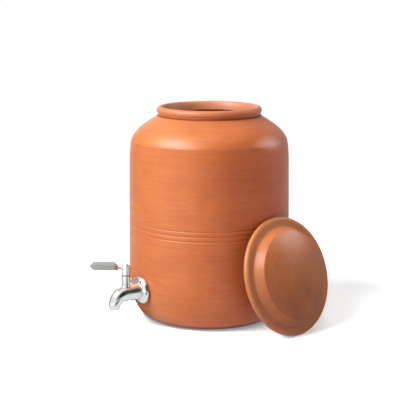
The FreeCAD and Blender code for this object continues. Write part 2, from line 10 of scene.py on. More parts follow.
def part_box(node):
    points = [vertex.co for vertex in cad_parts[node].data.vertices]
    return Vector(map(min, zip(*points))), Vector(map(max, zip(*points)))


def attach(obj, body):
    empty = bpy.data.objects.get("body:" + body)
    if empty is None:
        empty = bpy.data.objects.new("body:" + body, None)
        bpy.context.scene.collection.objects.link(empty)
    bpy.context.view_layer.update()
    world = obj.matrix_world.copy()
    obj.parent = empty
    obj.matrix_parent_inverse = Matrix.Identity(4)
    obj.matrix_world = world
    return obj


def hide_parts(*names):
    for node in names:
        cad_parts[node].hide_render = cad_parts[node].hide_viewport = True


# Looks for the clay water pot with tap. Metres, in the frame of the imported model:
# the origin is the centre of the pot's base, +Z is up and the tap faces -Y.
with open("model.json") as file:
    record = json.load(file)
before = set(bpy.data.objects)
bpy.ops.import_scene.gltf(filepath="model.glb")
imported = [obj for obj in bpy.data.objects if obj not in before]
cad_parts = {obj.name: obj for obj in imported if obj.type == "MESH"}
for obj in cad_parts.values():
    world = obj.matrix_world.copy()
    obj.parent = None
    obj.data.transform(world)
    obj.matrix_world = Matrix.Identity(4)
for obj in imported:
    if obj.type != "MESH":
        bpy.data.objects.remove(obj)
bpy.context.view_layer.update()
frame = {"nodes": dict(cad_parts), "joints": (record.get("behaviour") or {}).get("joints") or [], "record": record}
nodes = frame["nodes"]
joints = {joint["name"]: joint for joint in frame["joints"]}
MM = 0.001

# ---------------------------------------------------------------- camera
CAMERA_AZIMUTH = math.radians(54.4)     # from the tap's side, about the pot's axis
CAMERA_DISTANCE = 1.33                  # from the pot's axis, level
CAMERA_HEIGHT = 0.4141
CAMERA_PITCH = math.radians(11.62)      # below level
CAMERA_YAW = math.radians(0.069)
CAMERA_LENS = 89.04
SENSOR = 36.0

# ---------------------------------------------------------------- lamps
# name, degrees round from the camera (right is +), elevation, distance, width and height, watts,
# and whether it lights surfaces and whether it is seen in their gloss
LIGHTS = [
    ("key", -61, 44, 2.2, (1.3, 1.0), 56, True, True),
    ("key_glint", -60, 49, 2.2, (2.2, 1.0), 15, False, True),
    ("top", 20, 78, 2.2, (1.2, 1.2), 10, True, False),
    ("side", 102, 23.7, 1.8, (0.3, 0.5), 3.4, True, False),
    ("side_soft", 102, 23.7, 1.17, (0.13, 0.16), 1.25, False, True)]
# narrow lamps for the glints on the shoulder and the lid, so that they stay small from other sides:
# name, where it hits, degrees round from the camera, elevation, distance, size, watts, spread in degrees
BEAMS = [
    ("shoulder_glint", (0.0970, 0.0268, 0.2345), 102, 23.7, 0.5, 0.008, 0.0015, 2.2),
    ("shoulder_halo", (0.0964, 0.0266, 0.2355), 102, 23.7, 0.5, 0.025, 0.0026, 8.5),
    ("lid_glint", (0.144, 0.024, 0.120), 107, 34, 1.1, 0.06, 0.0100, 7)]
BEAM_COLOUR = (1.0, 0.95, 0.80)

# ---------------------------------------------------------------- studio, as light and as seen in gloss
AMBIENT = 0.15                # of the world, for light that is not seen in gloss
GLOSS_WHITE = 0.92            # of the studio as steel and burnished clay see it
# dimmer parts of the studio: degrees round from the camera, elevation, angle of the even middle
# and of the outer edge, and the share of the light there
DIM_PARTS = [
    (46, 24, 18, 42, 0.08),
    (22, 20, 14, 32, 0.40),
    (-132, 12, 12, 30, 0.45),
    (-112, -4, 10, 34, 0.6),
    (125, 5, 40, 75, 0.6)]
FLOOR_LIT_PARTS = [           # brighter ones, of the far floor alone
    (-44, -12, 14, 40, 2.3)]
FLOOR_DIM_PARTS = [           # dimmer ones, of the floor near the tap alone
    (180, -18, 30, 62, 0.08),
    (19, -14, 9, 23, 0.12)]
FLOOR_DIM_REACH = (0.20, 0.34)          # from the tap, between which near gives way to far
FLOOR_IN_GLOSS = 0.88                   # of the floor as steel and burnished clay see it
TAP_PLACE = (0.0, -0.13, 0.05)          # where the parts are seen from, low over the floor

# ---------------------------------------------------------------- floor, as the camera sees it
FLOOR_SIDE = 8.0                        # half of the floor's length and width
FLOOR_COLOUR = (0.78, 0.78, 0.78)
FLOOR_GAIN = 2.8                        # for what the camera sees of the shading
FLOOR_TINT = (0.99, 1.03, 1.04)         # takes the clay's red out of the shading
FLOOR_FADE = (0.35, 0.9)                # from the origin, between which shading gives way to white
SHADOW_SHARE = 0.85                     # of the shading that is kept under the object
CONTACT_REACH = 0.10                    # how far off a thing still closes the sky over the floor
CONTACT_SHADE = ((0.08, 0.40), (0.15, 1.0))     # open shares of the sky over the floor, and their light
CONTACT_OPEN = (0.22, 0.40)     # open shares between which that shade gives way to the true shadow

# ---------------------------------------------------------------- turned meshes
CURVE_STEPS = 60
CORNER_STEPS = 8
SAME_POINT = 1e-7                       # points nearer than this are one
ON_AXIS = 1e-9
PROFILE_STEP = 0.1 * MM                 # between the points that a mesh's rows are chosen from
ROW = 0.9 * MM
FINE_ROW = 0.3 * MM
WIDE_ROW = 4 * ROW
SHARP_ANGLE = math.radians(40)
POT_SEGMENTS = 384
LID_SEGMENTS = 288
TAP_HOLE_SEGMENTS = 96

# ---------------------------------------------------------------- pot's profile
# points are given as radius and height
POT_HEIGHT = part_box("pot")[1].z
BELLY_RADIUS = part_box("pot")[1].x
FOOT_RADIUS = 79.5 * MM
FOOT_HEIGHT = 54.0 * MM
WALL_TOP = (103.7 * MM, 208.0 * MM)
WALL_LEAN = math.radians(9.0)           # inwards, at the shoulder's edge
SHOULDER_EDGE = (101.4 * MM, 232.5 * MM)
SHOULDER_LOW = math.radians(21.0)       # inwards from straight up, where the shoulder starts
SHOULDER_HIGH = math.radians(37.5)      # slope from level, where it meets the crease
SHOULDER_PULL_LOW = 17.6 * MM
SHOULDER_PULL_HIGH = 14.3 * MM
CREASE = (66.6 * MM, 264.4 * MM)
MOUTH_RADIUS = 58.0 * MM
BEAD_RADIUS = 5.0 * MM
WALL = 8.0 * MM
FLOOR = 10.0 * MM
INNER_FOOT = (24.0 * MM, 44.0 * MM)
THROAT_BOTTOM = 264.5 * MM
LIP_PULL = (2.7 * MM, 0.9 * MM, 6.4 * MM)        # of the curve from the rim's crest into the throat
TAP_HOLE_RADIUS = 8.5 * MM
SEAT_MARGIN = 0.6 * MM                  # of the washers' seats round the washers
CUTTER_REACH = 20 * MM                  # past each seat

# ---------------------------------------------------------------- pot's marks
GROOVE_TOP, GROOVE_STEP = 131.0, 6.2    # in millimetres
GROOVES = [(GROOVE_TOP - GROOVE_STEP * i) * MM for i in range(3)]
GROOVE_HALF = 1.5 * MM
GROOVE_DEPTH = 0.5 * MM
GROOVE_UNEVEN = 0.12                    # share by which the depth changes round the pot
GROOVE_ROUNDNESS = 1.5
FAINT_LINES = [105.2 * MM, 100.8 * MM]
FAINT_HALF = 1.1 * MM
FAINT_DEPTH = 0.12 * MM
FAINT_UNEVEN = 0.6
NEAR_GROOVE = 2.5 * GROOVE_HALF         # rows are finest this near to a groove or a line
NEAR_EDGE = 3 * ROW                     # and fine this near to the shoulder's edge
# unevenness from the hand: number of waves, shortest, longest, and height of each
FINE_WAVES = (9, 2.2 * MM, 5.0 * MM, 0.004 * MM)
MIDDLE_WAVES = (6, 6.0 * MM, 16.0 * MM, 0.012 * MM)
INSIDE_WAVES = (4, 8.0 * MM, 13.0 * MM, 0.10 * MM)
POT_OVAL = 0.05 * MM
POT_SEED = 11
CALM_REACH = 12 * MM                    # the unevenness fades this near to the rim and the base
CALM_AT_RIM = 0.25                      # to this share at the rim, and to none at the base
SKIN_MARGIN = 0.2 * MM                  # a point this near to the smooth outer wall is on the outside
BASE_MARGIN = 1 * MM                    # above the base, which stays flat
THROAT_MARGIN = 4 * MM                  # below the throat, which stays round
MAX_PHASE = 6

# ---------------------------------------------------------------- lid's profile, lying level
LID_RADIUS = 74.8 * MM
LID_EDGE = 3.5 * MM
LID_COVE = (63.0 * MM, 6.0 * MM)
LID_BAND_FOOT = (60.6 * MM, 8.6 * MM)
LID_CROWN_EDGE = (56.2 * MM, 18.5 * MM)
LID_CROWN_HEIGHT = 28.0 * MM
LID_THICKNESS = 6.5 * MM
LID_FLANGE_PULL = 3.0 * MM
LID_COVE_PULL = 1.4 * MM
LID_FOOT_PULL = (-0.6 * MM, 1.2 * MM)   # of the curves that meet at the band's foot
LID_BAND_STRETCH = 2.6                  # of the upper one
LID_BROW_PULL = (1.0 * MM, -3.4 * MM)   # of the band where it leaves the crown
RING_OUTER = 56.0 * MM
RING_INNER = 51.0 * MM
RING_DEPTH = 4.0 * MM
RING_CORNER = 1.2 * MM
LID_FINE_RADIUS = 50 * MM               # rows are fine outside it
LID_RINGS = (4.1 * MM, 0.03 * MM)       # from one turning mark to the next, and their height
LID_OVAL = 0.06 * MM
LID_SEED = 23

# ---------------------------------------------------------------- clay
# colours
CLAY_STREAK = (0.46, 0.090, 0.026)
CLAY_FLECK = (0.74, 0.22, 0.08)
CLAY_YELLOW = (0.66, 0.37, 0.035)
# colour of the painted shade at the pot's foot and crease and under the lid
CLAY_PAINTED_SHADE = (0.11, 0.028, 0.011)
# a dark and a light tone for the lit side of the piece, the same for its shaded side, the way from
# the lit side to the shaded one, and the colour of paler places. The shaded side's tones are painted
# shade: the pot is redder on its side away from the key lamp, the lid darker on its lower side.
POT_LIT_TONES = ((0.585, 0.150, 0.033), (0.680, 0.198, 0.046))
POT_SHADED_TONES = ((0.600, 0.114, 0.030), (0.690, 0.147, 0.041))
POT_TOWARD_SHADE = (0.582, 0.813, 0.0)
# paler clay; on the pot's rim a painted sheen, in its throat bare clay and painted light
POT_PALE_AND_SHEEN = (0.80, 0.38, 0.21)
# the lid's second tones are darker: painted shade on its lower side
LID_LIT_TONES = ((0.58, 0.170, 0.052), (0.73, 0.250, 0.084))
LID_SHADED_TONES = ((0.30, 0.080, 0.030), (0.41, 0.124, 0.050))
LID_TOWARD_SHADE = (0.0, -1.0, 0.0)
LID_PALE = (0.74, 0.31, 0.14)
DRIFT_REACH = 60.0 * MM                 # to each side of the axis, over which the tones change
# scales of the noises; those of turned marks are across them and along them
BLOTCHES = (20, 20, 40)
PATCHES = (35, 35, 60)
RINGS = (190.0, 9.0)
STROKES = (700.0, 26.0)
LINES = (900.0, 5.0)
GRAIN = 1100.0
MIDDLE = (0.3, 0.7)                     # between which most of a noise lies
# how much a noise brings: least, most, and the values of the noise at which these are reached
RING_PALE_AND_SHEEN = (0.7, 1.0, *MIDDLE)
RING_STREAKS = (0.0, 0.24, 0.42, 0.75)
STROKE_STREAKS = (0.0, 0.8, 0.48, 0.8)
STREAK_PATCHES = (0.1, 1.0, 0.4, 0.6)
PATCH_FLECKS = (0.0, 0.22, 0.5, 0.75)
GRAIN_FLECKS = (0.0, 0.20, 0.5, 0.8)
CLAY_IOR = 1.5
CLAY_SPECULAR = 0.15                    # of the clay under its burnished skin
STROKE_ROUGHNESS = 0.07                 # by which strokes are rougher or smoother than the rest
DULL_SHADE = 0.6                         # share of painted shade from which the burnish is gone
CLAY_RELIEF = 0.05 * MM
LINE_STRENGTH = 0.6
GRAIN_STRENGTH = 0.5
# where the pot and the lid are paler, darker or more yellow: shares, and places between which they change.
# The rim's paleness is a painted sheen, the throat's is bare clay and painted light, and the dark at the
# crease, the foot and under the lid is painted shade
RIM_PAINTED_SHEEN = 0.32
RIM_SHEEN_START = CREASE[1] - 4 * MM
THROAT_PALE_AND_LIGHT = 0.6
THROAT_SHARE_RADII = (MOUTH_RADIUS + 0.6 * BEAD_RADIUS, MOUTH_RADIUS + BEAD_RADIUS)
THROAT_SHARE_HEIGHTS = (230 * MM, 250 * MM)
SHOULDER_YELLOW = 0.09
RIM_YELLOW = 0.02
YELLOW_START = (SHOULDER_EDGE[1] - 2 * MM, SHOULDER_EDGE[1] + 4 * MM)
YELLOW_END = (CREASE[1] - 4 * MM, CREASE[1])
# painted shade in the crease under the rim and at the foot's edge
CREASE_PAINTED_SHADE = 0.9
CREASE_SHADE_REACH = 2.4 * MM
FOOT_PAINTED_SHADE = 0.95
FOOT_SHADE_HEIGHTS = (0.4 * MM, 8 * MM)
LID_BAND_PALE = 0.6
# painted shade under the lid, where it faces the pot
LID_UNDER_PAINTED_SHADE = 0.8

# ---------------------------------------------------------------- steel, silicone and PTFE
METAL = {"Metallic": 1.0, "IOR": 2.5}
SOFT = {"IOR": 1.45}
SOFT_GRAIN = (2500, 2500, 2500)
SOFT_RELIEF = (0.02 * MM, 0.4)
# fixed values, scale of the blotches, their two tones, their two roughnesses, and the fine relief's
# scales, and its depth and strength
FINISHES = {
    "polished_steel": (
        METAL, 60.0, ((0.80, 0.80, 0.79), (0.88, 0.88, 0.87)), (0.05, 0.12), (900, 120, 900),
        (0.01 * MM, 0.3)),
    "plain_steel": (
        METAL, 90.0, ((0.52, 0.52, 0.51), (0.64, 0.64, 0.63)), (0.28, 0.40), (60, 2500, 60),
        (0.02 * MM, 0.5)),
    "silicone": (
        SOFT, 150.0, ((0.50, 0.50, 0.48), (0.62, 0.62, 0.60)), (0.39, 0.51), SOFT_GRAIN, SOFT_RELIEF),
    "ptfe": (
        SOFT, 150.0, ((0.80, 0.80, 0.78), (0.88, 0.88, 0.86)), (0.44, 0.56), SOFT_GRAIN, SOFT_RELIEF),
    # painted shade: a near-black finish for the thrust washer, dark as the gap between hub and bonnet
    "ptfe_painted_shade": (
        SOFT, 150.0, ((0.015, 0.015, 0.016), (0.03, 0.03, 0.03)), (0.54, 0.66), SOFT_GRAIN, SOFT_RELIEF)}
LEVER_BEARING = math.radians(-118.6)    # from +X towards +Y
GRIP_FLAT = (14.2 * MM, 41.4 * MM)      # from the stem's axis to the ends of the satin flats
FACET_EDGE = 0.2 * MM
FACET_ROUGHNESS = 0.3                   # of the flats' roughness
FACET_TONE = (0.60, 0.60, 0.59)
SATIN_TONES = ((0.50, 0.495, 0.475), (0.60, 0.595, 0.57))
SATIN_ROUGHNESS = (0.26, 0.36)
SATIN_BLOTCHES = 120.0
SATIN_BRUSHING = (2500, 2500, 160)
SATIN_RELIEF = (0.02 * MM, 0.5)


# ---------------------------------------------------------------- curves for turned shapes
def moved(point, way, times=1):
    # a point of a profile, moved times the way
    return (point[0] + way[0] * times, point[1] + way[1] * times)


def bezier(p0, p1, p2, p3):
    points = []
    for i in range(CURVE_STEPS + 1):
        t = i / CURVE_STEPS
        u = 1 - t
        weights = (u * u * u, 3 * u * u * t, 3 * u * t * t, t * t * t)
        points.append(tuple(sum(w * p[k] for w, p in zip(weights, (p0, p1, p2, p3))) for k in (0, 1)))
    return points


def ellipse(centre, radii, start, end, count=CURVE_STEPS):
    # from angle start to angle end, in degrees, 0 outwards and 90 up
    points = []
    for i in range(count + 1):
        angle = math.radians(start + (end - start) * i / count)
        points.append((centre[0] + radii[0] * math.cos(angle), centre[1] + radii[1] * math.sin(angle)))
    return points


def dome(top, edge):
    # round cap from its edge up to the axis at height top
    rise = top - edge[1]
    radius = (edge[0] ** 2 + rise ** 2) / (2 * rise)
    points = []
    for i in range(CURVE_STEPS + 1):
        r = edge[0] * (1 - i / CURVE_STEPS)
        points.append((r, top - radius + math.sqrt(radius ** 2 - r * r)))
    return points


def joined(*stretches):
    # one profile of several, without points that lie on each other
    profile = []
    for stretch in stretches:
        for point in stretch:
            if not profile or math.dist(profile[-1], point) > SAME_POINT:
                profile.append(point)
    return profile


def resampled(profile, spacing):
    # points along the profile, spacing(r, z) apart
    dense = []
    for a, b in zip(profile, profile[1:]):
        count = max(1, round(math.dist(a, b) / PROFILE_STEP))
        for i in range(count):
            dense.append((a[0] + (b[0] - a[0]) * i / count, a[1] + (b[1] - a[1]) * i / count))
    dense.append(profile[-1])
    kept = [dense[0]]
    run = 0.0
    for a, b in zip(dense, dense[1:]):
        run += math.dist(a, b)
        if run >= spacing(*b):
            kept.append(b)
            run = 0.0
    if run < PROFILE_STEP:
        kept.pop()
    kept.append(dense[-1])
    return kept


def lathe(name, profile, segments, offset=None):
    # turns a profile that starts and ends on the axis; offset(r, z, angle) is added to the radius
    rows = np.array([p for p in profile if p[0] > ON_AXIS])
    angles = np.arange(segments) * (2 * math.pi / segments)
    r = np.repeat(rows[:, :1], segments, axis=1)
    z = np.repeat(rows[:, 1:], segments, axis=1)
    if offset is not None:
        r = r + offset(r, z, np.repeat(angles[None, :], len(rows), axis=0))
    points = np.stack([r * np.cos(angles), r * np.sin(angles), z], axis=2).reshape(-1, 3)
    ends = np.array([[0, 0, profile[0][1]], [0, 0, profile[-1][1]]])
    points = np.vstack([points, ends])
    first, last = len(points) - 2, len(points) - 1
    faces = []
    for i in range(len(rows) - 1):
        for j in range(segments):
            k = (j + 1) % segments
            a, b = i * segments, (i + 1) * segments
            faces.append((a + j, a + k, b + k, b + j))
    top = (len(rows) - 1) * segments
    for j in range(segments):
        k = (j + 1) % segments
        faces.append((first, k, j))
        faces.append((last, top + j, top + k))
    mesh = bpy.data.meshes.new(name)
    mesh.from_pydata(points.tolist(), [], faces)
    mesh.shade_smooth()
    piece = bpy.data.objects.new(name, mesh)
    bpy.context.scene.collection.objects.link(piece)
    return piece


def waves(rng, count, shortest, longest, height):
    # a small set of sine waves: wave number along the height, whole turns round, phase, height
    chosen = []
    for _ in range(count):
        length = shortest * (longest / shortest) ** rng.random()
        chosen.append((2 * math.pi / length, rng.choice((-1, 0, 1, 1)), rng.random() * 2 * math.pi, height))
    return chosen


def summed(chosen, z, angle):
    total = np.zeros_like(z)
    for number, turns, phase, height in chosen:
        total += height * np.sin(number * z + turns * angle + phase)
    return total


# ---------------------------------------------------------------- pot
def shoulder_curve(start, end):
    low = moved(start, (-math.sin(SHOULDER_LOW), math.cos(SHOULDER_LOW)), SHOULDER_PULL_LOW)
    high = moved(end, (math.cos(SHOULDER_HIGH), -math.sin(SHOULDER_HIGH)), SHOULDER_PULL_HIGH)
    return bezier(start, low, high, end)


def lean_curve(start, end):
    taper = Vector((WALL_TOP[0] - BELLY_RADIUS, WALL_TOP[1] - FOOT_HEIGHT)).normalized()
    reach = math.dist(start, end) / 3
    low = moved(start, taper, reach)
    high = moved(end, (math.sin(WALL_LEAN), -math.cos(WALL_LEAN)), reach)
    return bezier(start, low, high, end)


def pot_profile():
    bead = (MOUTH_RADIUS + BEAD_RADIUS, POT_HEIGHT - BEAD_RADIUS)
    bead_start = -math.degrees(math.acos((CREASE[0] - bead[0]) / BEAD_RADIUS))
    throat_bottom = (MOUTH_RADIUS, THROAT_BOTTOM)
    shoulder_inside = (SHOULDER_EDGE[0] - WALL, SHOULDER_EDGE[1])
    wall_inside_top = (WALL_TOP[0] - WALL, WALL_TOP[1])
    inner_centre = (BELLY_RADIUS - WALL - INNER_FOOT[0], FLOOR + INNER_FOOT[1])
    return joined(
        [(0, 0), (FOOT_RADIUS, 0)],
        ellipse((FOOT_RADIUS, FOOT_HEIGHT), (BELLY_RADIUS - FOOT_RADIUS, FOOT_HEIGHT), -90, 0),
        lean_curve(WALL_TOP, SHOULDER_EDGE),
        shoulder_curve(SHOULDER_EDGE, CREASE),
        ellipse(bead, (BEAD_RADIUS, BEAD_RADIUS), bead_start, 90),
        bezier((bead[0], POT_HEIGHT), (bead[0] - LIP_PULL[0], POT_HEIGHT),
               (MOUTH_RADIUS + LIP_PULL[1], THROAT_BOTTOM + LIP_PULL[2]), throat_bottom),
        shoulder_curve(shoulder_inside, throat_bottom)[::-1],
        lean_curve(wall_inside_top, shoulder_inside)[::-1],
        ellipse(inner_centre, INNER_FOOT, 0, -90),
        [(0, FLOOR)])


def outside_radius(z):
    # of the straight wall, without its grooves
    share = (z - FOOT_HEIGHT) / (WALL_TOP[1] - FOOT_HEIGHT)
    return BELLY_RADIUS + (WALL_TOP[0] - BELLY_RADIUS) * share


def pot_spacing(r, z):
    # finest rows at the grooves, fine ones at the shoulder's edge and the rim, wide ones on the flats
    outside = r > BELLY_RADIUS - WALL / 2 if z < WALL_TOP[1] else r > MOUTH_RADIUS
    if outside and any(abs(z - g) < NEAR_GROOVE for g in GROOVES + FAINT_LINES):
        return FINE_ROW
    if z > THROAT_BOTTOM or abs(z - SHOULDER_EDGE[1]) < NEAR_EDGE:
        return ROW / 2
    return ROW if r > FOOT_RADIUS and z < POT_HEIGHT else WIDE_ROW


def groove(z, angle, height, half, depth, unevenness, phase):
    # shallow round-bottomed groove, a little deeper on one side of the pot than on the other
    away = np.clip(np.abs(z - height) / half, 0, 1)
    return -depth * (1 + unevenness * np.sin(angle + phase)) * np.cos(away * math.pi / 2) ** GROOVE_ROUNDNESS


def pot_offset():
    rng = random.Random(POT_SEED)
    fine = waves(rng, *FINE_WAVES)
    middle = waves(rng, *MIDDLE_WAVES)
    inside = waves(rng, *INSIDE_WAVES)
    oval_phase, *phases = [rng.random() * MAX_PHASE for _ in range(1 + len(GROOVES) + len(FAINT_LINES))]
    marks = [(height, GROOVE_HALF, GROOVE_DEPTH, GROOVE_UNEVEN) for height in GROOVES]
    marks += [(height, FAINT_HALF, FAINT_DEPTH, FAINT_UNEVEN) for height in FAINT_LINES]

    def offset(r, z, angle):
        foot_wall = FOOT_RADIUS + (BELLY_RADIUS - FOOT_RADIUS) * np.sqrt(
            np.clip(1 - ((FOOT_HEIGHT - z) / FOOT_HEIGHT) ** 2, 0, 1))
        skin = np.where(z < FOOT_HEIGHT, foot_wall, np.where(z < WALL_TOP[1], outside_radius(z), r))
        outer = np.where(z < WALL_TOP[1], np.abs(r - skin) < SKIN_MARGIN, r > MOUTH_RADIUS + BEAD_RADIUS / 4)
        outer = outer & (z > BASE_MARGIN)
        calm = np.clip((POT_HEIGHT - z) / CALM_REACH, CALM_AT_RIM, 1) * np.clip(z / CALM_REACH, 0, 1)
        total = (summed(fine, z, angle) + summed(middle, z, angle)) * calm
        total = total + POT_OVAL * np.sin(2 * angle + oval_phase) * calm
        for mark, phase in zip(marks, phases):
            total = total + groove(z, angle, *mark, phase)
        over_floor = z > FLOOR * 1.5
        inner = (~outer) & over_floor & (z < THROAT_BOTTOM - THROAT_MARGIN) & (r < skin - WALL / 2)
        return np.where(outer, total, 0) + np.where(inner, summed(inside, z, angle), 0)
    return offset


def cut(piece, cutter):
    # takes the cutter's shape out of the piece's own mesh
    modifier = piece.modifiers.new("cut", "BOOLEAN")
    modifier.operation = "DIFFERENCE"
    modifier.solver = "MANIFOLD"
    modifier.object = cutter
    graph = bpy.context.evaluated_depsgraph_get()
    mesh = bpy.data.meshes.new_from_object(piece.evaluated_get(graph))
    piece.modifiers.clear()
    old = piece.data
    piece.data = mesh
    bpy.data.meshes.remove(old)
    bpy.data.objects.remove(cutter)
    mesh.name = piece.name
    mesh.shade_smooth()
    mesh.set_sharp_from_angle(angle=SHARP_ANGLE)


def tap_hole_cutter():
    # washer seats and shank hole, turned about the tap's axis; heights are distances from the pot's axis
    outer_seat = -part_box("outer_washer")[1].y
    inner_seat = -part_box("inner_washer")[0].y
    outer_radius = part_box("outer_washer")[1].x + SEAT_MARGIN
    inner_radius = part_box("inner_washer")[1].x + SEAT_MARGIN
    start = inner_seat - CUTTER_REACH
    end = outer_seat + CUTTER_REACH
    profile = joined([
        (0, start), (inner_radius, start), (inner_radius, inner_seat), (TAP_HOLE_RADIUS, inner_seat),
        (TAP_HOLE_RADIUS, outer_seat), (outer_radius, outer_seat), (outer_radius, end), (0, end)])
    cutter = lathe("tap_hole_cutter", profile, TAP_HOLE_SEGMENTS)
    height = (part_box("outer_washer")[0].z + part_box("outer_washer")[1].z) / 2
    cutter.matrix_world = Matrix.Translation((0, 0, height)) @ Matrix.Rotation(math.radians(90), 4, "X")
    bpy.context.view_layer.update()
    return cutter


def make_pot():
    profile = resampled(pot_profile(), pot_spacing)
    pot = lathe("pot_clay", profile, POT_SEGMENTS, pot_offset())
    cut(pot, tap_hole_cutter())
    pot.data.materials.clear()
    pot.data.materials.append(pot_clay)
    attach(pot, "pot_and_tap")
    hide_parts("pot")


# ---------------------------------------------------------------- lid
def lid_profile():
    edge_centre = (LID_RADIUS - LID_EDGE, LID_EDGE)
    upper_edge = (edge_centre[0], 2 * LID_EDGE)
    crown = dome(LID_CROWN_HEIGHT, LID_CROWN_EDGE)
    hollow_side = (RING_INNER - RING_CORNER, LID_CROWN_EDGE[1] - LID_THICKNESS)
    hollow = dome(LID_CROWN_HEIGHT - LID_THICKNESS, hollow_side)
    corner = (RING_CORNER, RING_CORNER)
    corner_height = RING_CORNER - RING_DEPTH
    outer_corner = ellipse((RING_OUTER - RING_CORNER, corner_height), corner, 0, -90, CORNER_STEPS)
    inner_corner = ellipse((RING_INNER + RING_CORNER, corner_height), corner, -90, -180, CORNER_STEPS)
    return joined(
        crown[::-1],
        bezier(LID_CROWN_EDGE, moved(LID_CROWN_EDGE, LID_BROW_PULL),
               moved(LID_BAND_FOOT, LID_FOOT_PULL, LID_BAND_STRETCH), LID_BAND_FOOT),
        bezier(LID_BAND_FOOT, moved(LID_BAND_FOOT, LID_FOOT_PULL, -1),
               moved(LID_COVE, (-LID_COVE_PULL, 0)), LID_COVE),
        bezier(LID_COVE, moved(LID_COVE, (LID_FLANGE_PULL, 0)),
               moved(upper_edge, (-LID_FLANGE_PULL, 0)), upper_edge),
        ellipse(edge_centre, (LID_EDGE, LID_EDGE), 90, -90),
        [(RING_OUTER, 0)],
        outer_corner, inner_corner,
        [(RING_INNER, LID_EDGE)],
        hollow)[::-1]


def lid_spacing(r, z):
    return ROW / 2 if z < 0 or r > LID_FINE_RADIUS else ROW


def lid_offset():
    # turning marks on the crown, and a rim that isn't quite round
    phase = random.Random(LID_SEED).random() * MAX_PHASE
    length, height = LID_RINGS

    def offset(r, z, angle):
        rings = height * np.sin(2 * math.pi * r / length + angle) * (z > LID_CROWN_EDGE[1] * 0.5)
        return rings + LID_OVAL * np.sin(2 * angle + phase) * (r > RING_OUTER)
    return offset


def lid_seat():
    # from the lid's own frame, where it lies level, to its place against the pot
    low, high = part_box("lid")
    facing = Vector(joints["lid_away"]["axis"]).normalized()
    tilt = math.asin(facing.z)
    ring = LID_RADIUS - LID_EDGE
    centre = Vector((
        low.x + ring * math.sqrt(1 - facing.x ** 2) + LID_EDGE,
        (low.y + high.y) / 2,
        low.z + ring * math.cos(tilt) + LID_EDGE))
    turn = facing.to_track_quat("Z", "Y").to_matrix().to_4x4()
    return Matrix.Translation(centre) @ turn @ Matrix.Translation((0, 0, -LID_EDGE))


def make_lid():
    profile = resampled(lid_profile(), lid_spacing)
    lid = lathe("lid_clay", profile, LID_SEGMENTS, lid_offset())
    lid.data.set_sharp_from_angle(angle=SHARP_ANGLE)
    lid.data.transform(lid_seat())
    lid.data.materials.append(lid_clay)
    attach(lid, "lid")
    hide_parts("lid")


# ---------------------------------------------------------------- node trees
class Nodes:
    # short calls for the nodes of a tree
    def __init__(self, tree):
        self.tree = tree

    def node(self, kind, **settings):
        made = self.tree.nodes.new(kind)
        for key, value in settings.items():
            setattr(made, key, value)
        return made

    def link(self, source, target):
        self.tree.links.new(source, target)

    def feed(self, socket, value):
        # a number, a colour, or what another node gives
        if isinstance(value, (int, float)):
            socket.default_value = value
        elif isinstance(value, tuple):
            socket.default_value = (*value, 1.0)
        else:
            self.link(value, socket)

    def maths(self, operation, a, b=0.0):
        made = self.node("ShaderNodeMath", operation=operation)
        for socket, value in zip(made.inputs, (a, b)):
            self.feed(socket, value)
        return made.outputs["Value"]

    def vector_maths(self, operation, a, b=(0, 0, 0)):
        made = self.node("ShaderNodeVectorMath", operation=operation)
        made.inputs[1].default_value = b
        self.link(a, made.inputs[0])
        return made.outputs["Value" if operation in ("DOT_PRODUCT", "LENGTH") else "Vector"]

    def ranged(self, source, low, high, from_low=0.0, from_high=1.0, interpolation="LINEAR"):
        made = self.node("ShaderNodeMapRange", interpolation_type=interpolation)
        limits = {"From Min": from_low, "From Max": from_high, "To Min": low, "To Max": high}
        for name, value in limits.items():
            made.inputs[name].default_value = value
        self.link(source, made.inputs["Value"])
        return made.outputs["Result"]

    def eased(self, source, low, high, from_low=0.0, from_high=1.0):
        return self.ranged(source, low, high, from_low, from_high, "SMOOTHSTEP")

    def diffuse(self, colour):
        made = self.node("ShaderNodeBsdfDiffuse")
        self.feed(made.inputs["Color"], colour)
        return made.outputs[0]

    def emission(self, strength):
        made = self.node("ShaderNodeEmission")
        self.feed(made.inputs["Strength"], strength)
        return made.outputs[0]

    def blended(self, share, first, second):
        # two shaders, with as much of the second as share says
        made = self.node("ShaderNodeMixShader")
        for socket, source in zip(made.inputs, (share, first, second)):
            self.link(source, socket)
        return made.outputs[0]


